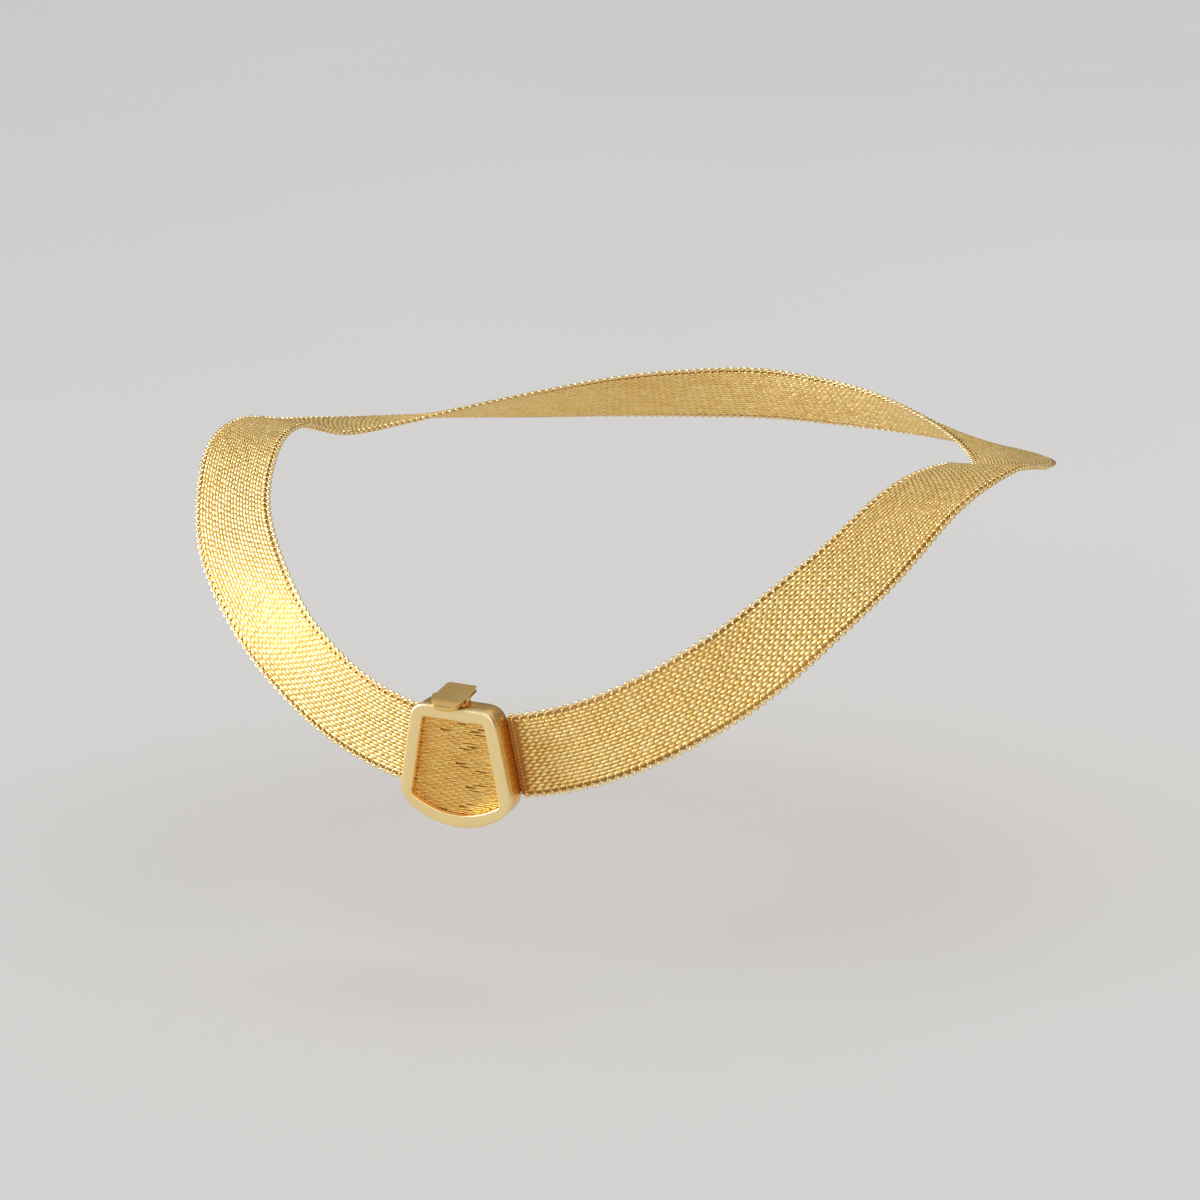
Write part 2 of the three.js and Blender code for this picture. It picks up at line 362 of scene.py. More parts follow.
# the inner sheet's colours are painted shade for the gaps between strands
shadeSheetColours = {"deep": (0.34, 0.17, 0.035), "light": (0.48, 0.27, 0.07), "shaded": (0.10, 0.03, 0.008)}


def toneMaterial(name, colours, roughness, grain, toneShare):
    def paint(tree, shader):
        goldTone(tree, shader, colours, roughness, grain, toneShare)

    return newMaterial(name, paint)


strandGold = toneMaterial("strandGold", wovenColours, 0.43, 5200.0, 0.7)
padGold = toneMaterial("padGold", padColours, 0.45, 5200.0, 0.7)
ringGold = toneMaterial("ringGold", chainColours, 0.26, 5200.0, 0.6)
shadeSheetGold = toneMaterial("shadeSheetGold", shadeSheetColours, 0.5, 3000.0, 0.0)


def brushedGold(tree, shader, low, high, roughness, drawn, strength):
    # polished sheet gold with a fine brushed line and soft clouding
    place = tree.make("ShaderNodeTexCoord", output=3)
    lines = tree.make("ShaderNodeMapping", Vector=place, Scale=drawn)
    brushed = tree.make("ShaderNodeTexNoise", Vector=lines, Scale=700.0, Detail=2.0, Roughness=0.5)
    cloud = tree.make("ShaderNodeTexNoise", Vector=place, Scale=140.0, Detail=2.0)
    tree.plug(shader, "BaseColor", tree.mixColour(cloud, low, high))
    tree.plug(shader, "Roughness", brushed * 0.08 + cloud * 0.10 + (roughness - 0.09))
    bump = tree.make("ShaderNodeBump", Height=brushed, Strength=strength, Distance=grainDepth)
    tree.plug(shader, "Normal", bump)
    shader.inputs["Metallic"].default_value = 1.0


def sheetMaterial(name, low, high, roughness, drawn, strength):
    # drawn: how closely the brushed lines lie along x, y and z
    def paint(tree, shader):
        brushedGold(tree, shader, low, high, roughness, drawn, strength)

    return newMaterial(name, paint)


faceGold = sheetMaterial("faceGold", (1.0, 0.75, 0.33), (1.0, 0.80, 0.40), 0.36, (0.5, 0.5, 6.0), 0.015)
boxGold = sheetMaterial("boxGold", (0.84, 0.48, 0.14), (0.92, 0.58, 0.20), 0.22, (1.0, 1.0, 5.0), 0.05)
leverGold = sheetMaterial("leverGold", (0.88, 0.54, 0.15), (1.0, 0.68, 0.24), 0.22, (7.0, 0.6, 0.6), 0.12)
pinGold = sheetMaterial("pinGold", (0.80, 0.48, 0.16), (0.90, 0.60, 0.24), 0.25, (4.0, 1.0, 1.0), 0.1)
print("finishes made")


# mesh helpers

def addObject(name, mesh):
    piece = bpy.data.objects.new(name, mesh)
    scene.collection.objects.link(piece)
    return piece


def meshFrom(name, vertices, faces):
    mesh = bpy.data.meshes.new(name)
    mesh.from_pydata([tuple(vertex) for vertex in vertices], [], [tuple(face) for face in faces])
    work = bmesh.new()
    work.from_mesh(mesh)
    bmesh.ops.recalc_face_normals(work, faces=work.faces)
    work.to_mesh(mesh)
    work.free()
    return mesh


def loftRings(rings, closed):
    # quads from ring to ring; a closed loft joins its last ring to its first, an open one gets two caps
    count = len(rings[0])
    vertices = np.concatenate(rings)
    faces = []
    spans = len(rings) if closed else len(rings) - 1
    for ring in range(spans):
        here = ring * count
        there = ((ring + 1) % len(rings)) * count
        for side in range(count):
            after = (side + 1) % count
            faces.append((here + side, here + after, there + after, there + side))
    if not closed:
        last = (len(rings) - 1) * count
        faces.append(range(count - 1, -1, -1))
        faces.append(range(last, last + count))
    return vertices, faces


def settle(piece):
    # turns live modifiers into a plain mesh
    graph = bpy.context.evaluated_depsgraph_get()
    made = bpy.data.meshes.new_from_object(piece.evaluated_get(graph))
    piece.modifiers.clear()
    old = piece.data
    piece.data = made
    bpy.data.meshes.remove(old)
    made.name = piece.name


def joinOrCut(piece, vertices, faces, operation):
    tool = addObject("tool", meshFrom("tool", vertices, faces))
    modifier = piece.modifiers.new("join", "BOOLEAN")
    modifier.operation = operation
    modifier.solver = "EXACT"
    modifier.object = tool
    settle(piece)
    bpy.data.meshes.remove(tool.data)


def roundBar(centre, radius, length, sides=32):
    # a bar that lies along x
    turn = np.linspace(0, 2 * math.pi, sides, endpoint=False)
    circle = np.stack([np.zeros(sides), radius * np.cos(turn), radius * np.sin(turn)], 1)
    ends = [circle + centre + np.array([half * length / 2, 0, 0]) for half in (-1, 1)]
    return loftRings(ends, False)


def bevelEdges(piece, width, segments=3, angle=35):
    modifier = piece.modifiers.new("bevel", "BEVEL")
    modifier.width = width
    modifier.segments = segments
    modifier.limit_method = "ANGLE"
    modifier.angle_limit = math.radians(angle)
    settle(piece)


def finishPiece(piece, body, nodes, material, sharp=None):
    piece.data.materials.clear()
    piece.data.materials.append(material)
    if sharp is not None:
        piece.data.shade_smooth()
        piece.data.set_sharp_from_angle(angle=math.radians(sharp))
    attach(piece, body)
    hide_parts(*nodes)


# Geometry Nodes trees: shapes set out on points that know their way along the band and out of its face

def newGeometryTree(name, inputs):
    group = bpy.data.node_groups.new(name, "GeometryNodeTree")
    group.interface.new_socket("Geometry", in_out="INPUT", socket_type="NodeSocketGeometry")
    for label, value in inputs.items():
        kind = "NodeSocketInt" if isinstance(value, int) else "NodeSocketFloat"
        group.interface.new_socket(label, in_out="INPUT", socket_type=kind).default_value = value
    group.interface.new_socket("Geometry", in_out="OUTPUT", socket_type="NodeSocketGeometry")
    start = group.nodes.new("NodeGroupInput")
    return Tree(group), {socket.name: Wire(group, socket) for socket in start.outputs if socket.name}


def turnedOnBand(tree, tilt):
    # faces a shape out of the band, points it along the row, then tilts it across the row
    out = tree.attribute("out", "FLOAT_VECTOR")
    along = tree.attribute("along", "FLOAT_VECTOR")
    axes = {"primary_axis": "Z", "secondary_axis": "X"}
    upright = tree.make("FunctionNodeAxesToRotation", axes, s0=out, s1=along)
    turn = tree.make("FunctionNodeEulerToRotation", s0=tree.make("ShaderNodeCombineXYZ", Z=tilt))
    return tree.make("FunctionNodeRotateRotation", {"rotation_space": "LOCAL"}, s0=upright, s1=turn)


def closeTree(tree, instances, tone, material):
    toned = tree.make("GeometryNodeStoreNamedAttribute", {"data_type": "FLOAT", "domain": "INSTANCE"},
                      Geometry=instances, Name="tone", Value=tone)
    real = tree.make("GeometryNodeRealizeInstances", Geometry=toned)
    painted = tree.make("GeometryNodeSetMaterial", Geometry=real, Material=material)
    finish = tree.tree.nodes.new("NodeGroupOutput")
    tree.tree.links.new(painted.socket, finish.inputs[0])
    return tree.tree


def strandTree(name, sizes, material):
    # a plump strand on every point, its tips drawn in and tucked under its neighbours
    tree, given = newGeometryTree(name, sizes)
    ball = tree.make("GeometryNodeMeshUVSphere", Segments=8, Rings=4, Radius=0.5)
    lying = tree.make("GeometryNodeTransform", Geometry=ball, Rotation=(0, math.pi / 2, 0))
    place = tree.make("GeometryNodeInputPosition")
    parts = tree.tree.nodes.new("ShaderNodeSeparateXYZ")
    tree.tree.links.new(place.socket, parts.inputs[0])
    x, y, z = [Wire(tree.tree, socket) for socket in parts.outputs]
    reach = x * 2.0
    square = reach * reach
    plump = square * square * given["Plump"] + 1.0
    ridge = 1.0 - (1.0 - (y * 6.0).math("ABSOLUTE").math("MINIMUM", 1.0)) * given["Groove"]
    shaped = tree.make("ShaderNodeCombineXYZ", X=x, Y=y * plump, Z=z * plump * ridge)
    strand = tree.make("GeometryNodeSetPosition", Geometry=lying, Position=shaped)
    soft = tree.make("GeometryNodeSetShadeSmooth", Geometry=strand)
    seed = given["Seed"]
    rotation = turnedOnBand(tree, given["Tilt"] + tree.random(-1.0, 1.0, seed) * given["Tilt wobble"])
    lift = tree.random(-1.0, 1.0, seed + 1.0) * given["Lift"]
    out = tree.attribute("out", "FLOAT_VECTOR")
    raised = tree.make("ShaderNodeVectorMath", {"operation": "SCALE"}, s0=out, Scale=lift)
    points = tree.make("GeometryNodeSetPosition", Geometry=given["Geometry"], Offset=raised)
    length = given["Length"] * tree.attribute("stretch") * tree.random(0.95, 1.06, seed + 2.0)
    width = given["Width"] * tree.random(0.9, 1.08, seed + 3.0)
    size = tree.make("ShaderNodeCombineXYZ", X=length, Y=width, Z=given["Depth"])
    strands = tree.make("GeometryNodeInstanceOnPoints", Points=points, Instance=soft,
                        Rotation=rotation, Scale=size)
    return closeTree(tree, strands, tree.random(0.0, 1.0, seed + 4.0), material)


def chainTree(name, sizes, material):
    # round rings that lie in the band's plane, upright links between them, and ties round the woven edge
    tree, given = newGeometryTree(name, sizes)
    seed = given["Seed"]
    rotation = turnedOnBand(tree, tree.random(-1.0, 1.0, seed) * given["Wobble"])
    joined = tree.tree.nodes.new("GeometryNodeJoinGeometry")
    upright = (math.pi / 2, 0.0, 0.0)
    shapes = [
        ("Ring", "Wire", (1.0, 1.0, 1.0), 11, (0.0, 0.0, 0.0)),
        ("Link", "Link wire", (0.9, 0.4, 1.0), 9, upright),
        ("Tie", "Tie wire", (0.95, 1.0, 1.0), 8, (0.0, math.pi / 2, 0.0)),
    ]
    for index, (radius, wire, oval, corners, turn) in enumerate(shapes):
        circle = tree.make("GeometryNodeCurvePrimitiveCircle", Resolution=corners, Radius=given[radius])
        drawn = tree.make("GeometryNodeTransform", Geometry=circle, Scale=oval)
        wireSection = tree.make("GeometryNodeCurvePrimitiveCircle", Resolution=5, Radius=given[wire])
        tube = tree.make("GeometryNodeCurveToMesh", Curve=drawn, ProfileCurve=wireSection)
        turned = tree.make("GeometryNodeTransform", Geometry=tube, Rotation=turn)
        soft = tree.make("GeometryNodeSetShadeSmooth", Geometry=turned)
        chosen = (tree.attribute("part") - float(index)).math("ABSOLUTE").math("LESS_THAN", 0.5)
        placed = tree.make("GeometryNodeInstanceOnPoints", Points=given["Geometry"], Instance=soft,
                           Selection=chosen, Rotation=rotation)
        tree.tree.links.new(placed.socket, joined.inputs[0])
    return closeTree(tree, Wire(tree.tree, joined.outputs[0]), tree.random(0.1, 1.0, seed + 5.0), material)


def growOnPoints(name, group, sizes, cloud):
    # a bare cloud of points that carries its directions, which the tree turns into one plain mesh
    mesh = bpy.data.meshes.new(name)
    mesh.from_pydata([tuple(point) for point in cloud["place"]], [], [])
    for label, values in cloud.items():
        if label == "place":
            continue
        flat = np.asarray(values, np.float32).ravel()
        if label in ("along", "out"):
            mesh.attributes.new(label, "FLOAT_VECTOR", "POINT").data.foreach_set("vector", flat)
        else:
            mesh.attributes.new(label, "FLOAT", "POINT").data.foreach_set("value", flat)
    piece = addObject(name, mesh)
    modifier = piece.modifiers.new("grow", "NODES")
    modifier.node_group = group
    for socket in group.interface.items_tree:
        if socket.in_out == "INPUT" and socket.name in sizes:
            modifier[socket.identifier] = sizes[socket.name]
    settle(piece)
    for label in ("along", "out", "stretch", "part"):
        if label in piece.data.attributes:
            piece.data.attributes.remove(piece.data.attributes[label])
    return piece


def pickPoints(cloud, chosen):
    return {label: values[chosen] for label, values in cloud.items()}


# the woven band: a thin sheet inside, painted dark as the shade seen through the gaps, and rows of strands
# that wrap it on both faces
band = {
    "halfWidth": 6.87,
    "rows": 21,
    "strandsRound": 350,
    "rowMargin": 0.45,  # room beside the outer rows, in rows
    "rowShift": 0.36,  # how far every second row's strands sit along, in strands
    "coreSteps": 320,
    "coreSection": [(-7.25, -0.07), (-6.3, -0.25), (6.3, -0.25), (7.25, -0.07),
                    (7.25, 0.07), (6.3, 0.25), (-6.3, 0.25), (-7.25, 0.07)],
    "wallGap": -0.14,
    "skewFade": 12,  # degrees over which the core's slanted ends ease into square sections
    "endStrip": 1.15,  # mm beside the clasp where strand ends show instead of rows
    # painted shade on the strands at the clasp's wall: how dark at the wall, its fall for each mm, and the
    # most
    "shade": (1.9, 0.75, 0.5),
}
strandSizes = {
    "Length": 1.8 * mm, "Width": 0.72 * mm, "Depth": 1.1 * mm, "Plump": 0.8, "Groove": 0.3,
    "Tilt": math.radians(6.5), "Tilt wobble": math.radians(2.5), "Lift": 0.04 * mm, "Seed": 3,
}
endSizes = {
    **strandSizes,
    "Width": 0.5 * mm, "Depth": 1.0 * mm, "Tilt": 0.0, "Tilt wobble": 0.3, "Seed": 29,
}
ends = {
    "gaps": (0.12, 0.68),  # mm from the clasp's wall to each line of ends
    "slip": 0.3,  # how far the second line sits across, in rows
    "stretch": 0.42,
    # the second line gets less painted shade
    "fade": 0.25,  # how much lighter the second line is
}
aheadStep = 0.05  # degrees


def buildBandCore():
    start, stop = clearOfClasp(0, band["wallGap"])
    even = np.linspace(start, stop, band["coreSteps"])
    atStart = np.clip(1 - (even - start) / band["skewFade"], 0, 1)
    atStop = np.clip(1 - (stop - even) / band["skewFade"], 0, 1)
    columns = []
    for across, out in band["coreSection"]:
        first, last = clearOfClasp(across, band["wallGap"])
        centre, _, side, face = bandFrames(even + (first - start) * atStart + (last - stop) * atStop)
        columns.append(centre + (side * across + face * out) * mm)
    vertices, faces = loftRings(list(np.stack(columns, 1)), False)
    # the sheet's dark colour is painted shade seen through the gaps
    core = addObject("shade_sheet_core", meshFrom("shade_sheet_core", vertices, faces))
    finishPiece(core, "collar", ["mesh_band"], shadeSheetGold, 40)


def rowPitch():
    return 2 * band["halfWidth"] / (band["rows"] + band["rowMargin"])


def rowOffsets():
    # how far across the band each row of strands lies, in mm
    return [(row - (band["rows"] - 1) / 2) * rowPitch() for row in range(band["rows"])]


def strandPoints():
    cloud = {"place": [], "along": [], "out": [], "stretch": [], "near": []}
    count = band["strandsRound"]
    darkest, fall, most = band["shade"]
    evenAngles, _ = anglesAlong(0, count + 1, 0, 360)
    for row, offset in enumerate(rowOffsets()):
        first, last = clearOfClasp(offset, 0)
        shift = row % 2 * band["rowShift"]
        angles = np.interp(np.arange(count) + shift, np.arange(count + 1), evenAngles)
        centre, _, side, face = bandFrames(angles)
        place = centre + side * offset * mm
        ahead = acrossPoints(angles + aheadStep, offset) - acrossPoints(angles - aheadStep, offset)
        middle = routePoints(angles + aheadStep) - routePoints(angles - aheadStep)
        clear = outsideClasp(place)
        clear[np.abs(angles - 180) < 90] = clasp["side"]  # the back half of the loop is always clear
        keep = (clear > band["endStrip"]) & (angles > first) & (angles < last)
        cloud["place"].append(place[keep])
        cloud["along"].append(unit(ahead)[keep])
        cloud["out"].append(face[keep])
        cloud["stretch"].append((np.linalg.norm(ahead, axis=1) / np.linalg.norm(middle, axis=1))[keep])
        # painted shade, darkest at the clasp's wall
        cloud["near"].append(np.clip(darkest - clear[keep] * fall, 0, most))
    return {label: np.concatenate(values) for label, values in cloud.items()}


def endPoints():
    # short strand ends turned over beside the clasp's walls, given painted shade
    cloud = {"place": [], "along": [], "out": [], "stretch": [], "near": []}
    for offset in rowOffsets():
        for step, gap in enumerate(ends["gaps"]):
            for angle in clearOfClasp(offset, gap):
                centre, along, side, face = bandFrames(np.array([angle]))
                slipped = offset + ends["slip"] * step * rowPitch()
                cloud["place"].append(centre[0] + side[0] * slipped * mm)
                cloud["along"].append(along[0])
                cloud["out"].append(face[0])
                cloud["stretch"].append(ends["stretch"])
                # painted shade on the ends, less on the second line
                cloud["near"].append(1.0 - ends["fade"] * step)
    return {label: np.array(values) for label, values in cloud.items()}


def buildStrands():
    tree = strandTree("strands", strandSizes, strandGold)
    cloud = strandPoints()
    for name, side, seed in (("woven_strands_left", -1, 3), ("woven_strands_right", 1, 11)):
        chosen = pickPoints(cloud, cloud["place"][:, 0] * side > 0)
        piece = growOnPoints(name, tree, {**strandSizes, "Seed": seed}, chosen)
        finishPiece(piece, "collar", ["mesh_band"], strandGold)
    piece = growOnPoints("strand_ends", tree, endSizes, endPoints())
    finishPiece(piece, "collar", ["mesh_band"], strandGold)


buildBandCore()
buildStrands()
print("woven band made")


# the edge chains
# tieShade is painted shade on the ties, which sit in the gap beside the woven edge
edge = {"across": 7.43, "pitch": 1.54, "wallGap": 0.2, "linkReach": 0.56, "tieInward": 0.62, "tieShade": 0.25}
chainSizes = {
    "Ring": 0.31 * mm, "Wire": 0.25 * mm, "Link": 0.56 * mm, "Link wire": 0.13 * mm,
    "Tie": 0.4 * mm, "Tie wire": 0.17 * mm, "Wobble": math.radians(5), "Seed": 5,
}


def chainPoints(across):
    first, last = clearOfClasp(across, edge["wallGap"] + edge["linkReach"])
    _, length = anglesAlong(across, 2, first, last)
    steps = round(length / (edge["pitch"] * mm))
    clouds = []
    inward = -math.copysign(edge["tieInward"], across)
    # part 0 is a ring, 1 a link between two rings, and 2 a tie
    for part, count, offset in ((0, steps + 1, 0), (1, steps, 0), (2, steps + 1, inward)):
        angles, _ = anglesAlong(across, 2 * steps + 1, first, last)
        angles = angles[1::2] if part == 1 else angles[::2]
        centre, along, side, face = bandFrames(angles)
        clouds.append({
            "place": centre + side * (across + offset) * mm,
            "along": along, "out": face,
            "part": np.full(count, float(part)),
            # the ties get painted shade
            "near": np.full(count, edge["tieShade"] if part == 2 else 0.0),
        })
    return {label: np.concatenate([cloud[label] for cloud in clouds]) for label in clouds[0]}


def buildChains():
    tree = chainTree("edgeChain", chainSizes, ringGold)
    for name, node, sign, seed in (("ring_chain_inner", "edge_chain_inner", -1, 5),
                                   ("ring_chain_outer", "edge_chain_outer", 1, 17)):
        piece = growOnPoints(name, tree, {**chainSizes, "Seed": seed}, chainPoints(sign * edge["across"]))
        finishPiece(piece, "collar", [node], ringGold)


buildChains()
print("edge chains made")


# the clasp: box, face frame, woven pad and thumb lever, drawn in mm in the clasp's own frame
def roundedProfile(corners, closed, steps=4):
    # (inset, depth, rounding) corners turned into a smooth run of (inset, depth) points
    points = []
    last = len(corners) - 1
    for index, (inset, depth, rounding) in enumerate(corners):
        here = np.array([inset, depth], float)
        if rounding == 0 or (not closed and index in (0, last)):
            points.append(here)
            continue
        before = np.array(corners[index - 1][:2], float)
        after = np.array(corners[(index + 1) % len(corners)][:2], float)
        start = here + unit(before - here) * rounding
        stop = here + unit(after - here) * rounding
        for t in np.linspace(0, 1, steps + 1):
            points.append((1 - t) ** 2 * start + 2 * t * (1 - t) * here + t * t * stop)
    return points


def claspRings(profile, rounding):
    # one ring of points for each profile point, its corners eased as it draws in
    rings = []
    for inset, depth in profile:
        top = rounding(clasp["topCorner"], inset)
        bottom = rounding(clasp["bottomCorner"], inset)
        outline = claspOutline(inset, top, bottom)
        rings.append(np.column_stack([outline, np.full(len(outline), depth)]))
    return rings


def placeInClasp(piece):
    piece.data.transform(claspMatrix)
    piece.data.update()


box = {
    "front": 2.5, "back": -1.0, "wall": 0.9, "inset": 0.15, "edge": 0.22, "floorEdge": 0.3,
    "tighten": 0.4,  # how much a corner's rounding shrinks for each mm inwards
    "capInset": 6,  # where the flat middle of the floor starts
}
hinge = {
    "x": -1.2, "height": 10.6, "depth": 1.7, "barrel": 0.55, "barrelLength": 5.1, "hole": 0.35,
    "earReach": 3.15, "earThickness": 0.45, "earRadius": 0.6, "pinHole": 0.3, "earFoot": 9.1,
}


def boxRounding(outer, inset):
    return outer - inset * box["tighten"]


def buildBox():
    inner = box["inset"] + box["wall"]
    corners = [
        (box["capInset"], box["back"], 0),
        (box["inset"], box["back"], box["floorEdge"]),
        (box["inset"], box["front"], box["edge"]),
        (inner, box["front"], box["edge"]),
        (inner, box["back"] + box["wall"], box["floorEdge"]),
        (box["capInset"], box["back"] + box["wall"], 0),
    ]
    rings = claspRings(roundedProfile(corners, False), boxRounding)
    vertices, faces = loftRings(rings, False)
    piece = addObject("clasp_case", meshFrom("clasp_case", vertices, faces))
    for side in (-1, 1):
        middle = hinge["x"] + side * (hinge["earReach"] + hinge["earThickness"] / 2)
        joinOrCut(piece, *hingeEar(middle), "UNION")
    centre = np.array([hinge["x"], hinge["height"], hinge["depth"]])
    joinOrCut(piece, *roundBar(centre, hinge["pinHole"], 20), "DIFFERENCE")
    placeInClasp(piece)
    finishPiece(piece, "collar", ["clasp_box"], boxGold, 32)


def hingeEar(middle):
    # an upright lug with a round head about the pin
    radius = hinge["earRadius"]
    turn = np.linspace(0, math.pi, 15)
    depth = hinge["depth"]
    foot = hinge["earFoot"]
    head = [(depth + radius * math.cos(a), hinge["height"] + radius * math.sin(a)) for a in turn]
    outline = [(depth + radius, foot), *head, (depth - radius, foot)]
    rings = []
    for half in (-1, 1):
        x = middle + half * hinge["earThickness"] / 2
        rings.append(np.array([(x, y, z) for z, y in outline]))
    return loftRings(rings, False)


face = {
    "front": 4.0, "back": 2.8, "bar": 2.4, "crown": 0.05, "openingCorner": 0.7,
    "outerEdge": 0.42, "innerEdge": 0.2, "backEdge": 0.12, "crownEdge": 0.6,  # how far each edge is rounded
}


def faceRounding(outer, inset):
    # the frame's corners go from the outer rounding to a small one at the opening
    return outer + (face["openingCorner"] - outer) * min(inset / face["bar"], 1)


def buildFace():
    middle = face["bar"] / 2
    corners = [
        (0, face["back"], face["backEdge"]),
        (0, face["front"] - face["crown"], face["outerEdge"]),
        (middle, face["front"], face["crownEdge"]),
        (face["bar"], face["front"] - face["crown"], face["innerEdge"]),
        (face["bar"], face["back"], face["backEdge"]),
    ]
    rings = claspRings(roundedProfile(corners, True), faceRounding)
    vertices, faces = loftRings(rings, True)
    piece = addObject("clasp_face", meshFrom("clasp_face", vertices, faces))
    placeInClasp(piece)
    finishPiece(piece, "collar", ["clasp_frame"], faceGold, 50)


pad = {
    "inset": 1.95, "corner": 0.7, "back": 1.9, "plate": 2.45, "margin": 0.25,
    "slant": 1.016,  # how much further a flared side draws in than a straight one
    "rowPitch": 0.43, "rowShift": 0.41, "strandPitch": 2.3, "shortest": 0.3,
    "wave": 0.012, "waveTurn": (0.55, 0.35), "scatter": 0.012, "seed": 7,
    "rimDepth": 2.5, "crown": 0.24, "crownReach": 0.9, "rim": 0.5, "foot": 0.2, "head": 0.1,
    # shade is painted shade on the pad's left side
    "shade": (4.6, 0.3, 0.35),  # where the left side starts to darken, its rise for each mm, and the most
    "closeUp": 0.14,  # how far the rows beside a slit draw together
    # thin slits where part of a row is missing: x, y and half length
    "slits": [(1.6, 7.1, 0.9), (4.5, 5.6, 1.0), (2.3, 2.4, 1.0), (0.9, -1.2, 1.0), (4.6, -1.5, 0.4),
              (3.2, -5.1, 1.1), (1.8, -9.1, 0.9), (-2.0, 5.0, 0.4)],
}
padSizes = {
    "Length": 3.4 * mm, "Width": 0.5 * mm, "Depth": 0.42 * mm, "Plump": 0.9, "Groove": 0.0,
    "Tilt": math.radians(0.3), "Tilt wobble": math.radians(0.4), "Lift": 0.012 * mm, "Seed": 41,
}


def buildPadPlate():
    outline = claspOutline(pad["inset"], pad["corner"], pad["corner"])
    rings = []
    for depth in (pad["back"], pad["plate"]):
        rings.append(np.column_stack([outline, np.full(len(outline), depth)]))
    vertices, faces = loftRings(rings, False)
    plate = addObject("pad_plate", meshFrom("pad_plate", vertices, faces))
    placeInClasp(plate)
    finishPiece(plate, "collar", ["clasp_mesh"], padGold, 40)


def padRows():
    # (x, y, depth, stretch) of every strand, row by row from the top, with the slits left out
    highest = clasp["top"] - pad["inset"] - pad["margin"]
    lowest = -clasp["bottom"] + pad["inset"] + pad["margin"]
    rows = int((highest - lowest) / pad["rowPitch"])
    pitch = pad["strandPitch"]
    waveX, waveY = pad["waveTurn"]
    random = np.random.default_rng(pad["seed"])
    strands = []
    for row in range(rows + 1):
        y = highest - row * pad["rowPitch"]
        half = clasp["side"] - pad["inset"] * pad["slant"] - clasp["flare"] * y
        first = -half + (row * pad["rowShift"]) % 1 * pitch + pad["shortest"]
        joints = [-half, *np.arange(first, half - pad["shortest"], pitch), half]
        for start, stop in zip(joints, joints[1:]):
            x = (start + stop) / 2
            wavy = y + pad["wave"] * math.sin(waveX * x + waveY * y)
            wavy += pad["scatter"] * random.standard_normal()
            above = wavy - clasp["bow"] * x * x - lowest
            slit = False
            for slitX, slitY, reach in pad["slits"]:
                rowsOff = row - round((highest - slitY) / pad["rowPitch"])
                if abs(x - slitX) < reach and abs(rowsOff) < 2:
                    slit = slit or rowsOff == 0
                    wavy += rowsOff * pad["closeUp"]
            if above > 0 and not slit:
                inward = min(half - pad["rim"] - abs(x), above - pad["foot"], highest + pad["head"] - wavy)
                share = min(max(inward / pad["crownReach"], 0), 1)
                depth = pad["rimDepth"] + pad["crown"] * math.sqrt(share)
                strands.append((x, wavy, depth, (stop - start) / pitch))
    return np.array(strands)


def buildPadStrands():
    strands = padRows()
    local = strands[:, :3]
    spin = np.array(claspMatrix)
    turn = spin[:3, :3] / mm
    count = len(local)
    shadeStart, shadeRise, shadeMost = pad["shade"]
    cloud = {
        "place": local @ spin[:3, :3].T + spin[:3, 3],
        "along": np.tile(turn[:, 0], (count, 1)), "out": np.tile(turn[:, 2], (count, 1)),
        "stretch": strands[:, 3],
        # painted shade towards the pad's left side
        "near": np.clip((-local[:, 0] - shadeStart) * shadeRise, 0, shadeMost),
    }
    piece = growOnPoints("pad_strands", strandTree("padStrands", padSizes, padGold), padSizes, cloud)
    finishPiece(piece, "collar", ["clasp_mesh"], padGold)


lever = {
    "back": -3, "front": 5.1, "halfFront": 3.2, "halfBack": 2.95, "topFront": 11, "rise": 0.75,
    "thickness": 0.75, "lipBottom": 9.3, "lip": 0.8, "crown": 2.1, "lipRise": 0.75, "bevel": 0.09,
    "frontCorner": (1.6, 2.7), "backCorner": (0.6, 0.7),  # how far each rounding reaches in x and in depth
    "dip": 0.07, "noseFoot": 0.8, "lipEase": 0.12,
    "lipEdge": ((0.02, 0.4), (0.1, 0.15), (0.27, 0)),  # back from the front and up from the lip's foot
    "topStops": (-3, -2.9, -2.7, -2.4, -1, 0.5, 2, 2.5),
    "underStops": (3.3, 2, 0.5, -1, -2.4, -2.7, -2.9, -3),
}


def leverHalf(depth):
    # half width of the lever's plan at a depth, with its corners rounded off
    half = np.interp(depth, [lever["back"], lever["front"]], [lever["halfBack"], lever["halfFront"]])
    for end, (wide, deep) in ((lever["front"], lever["frontCorner"]), (lever["back"], lever["backCorner"])):
        short = max(1 - abs(end - depth) / deep, 0)
        half -= wide * (1 - math.sqrt(1 - short * short))
    return half


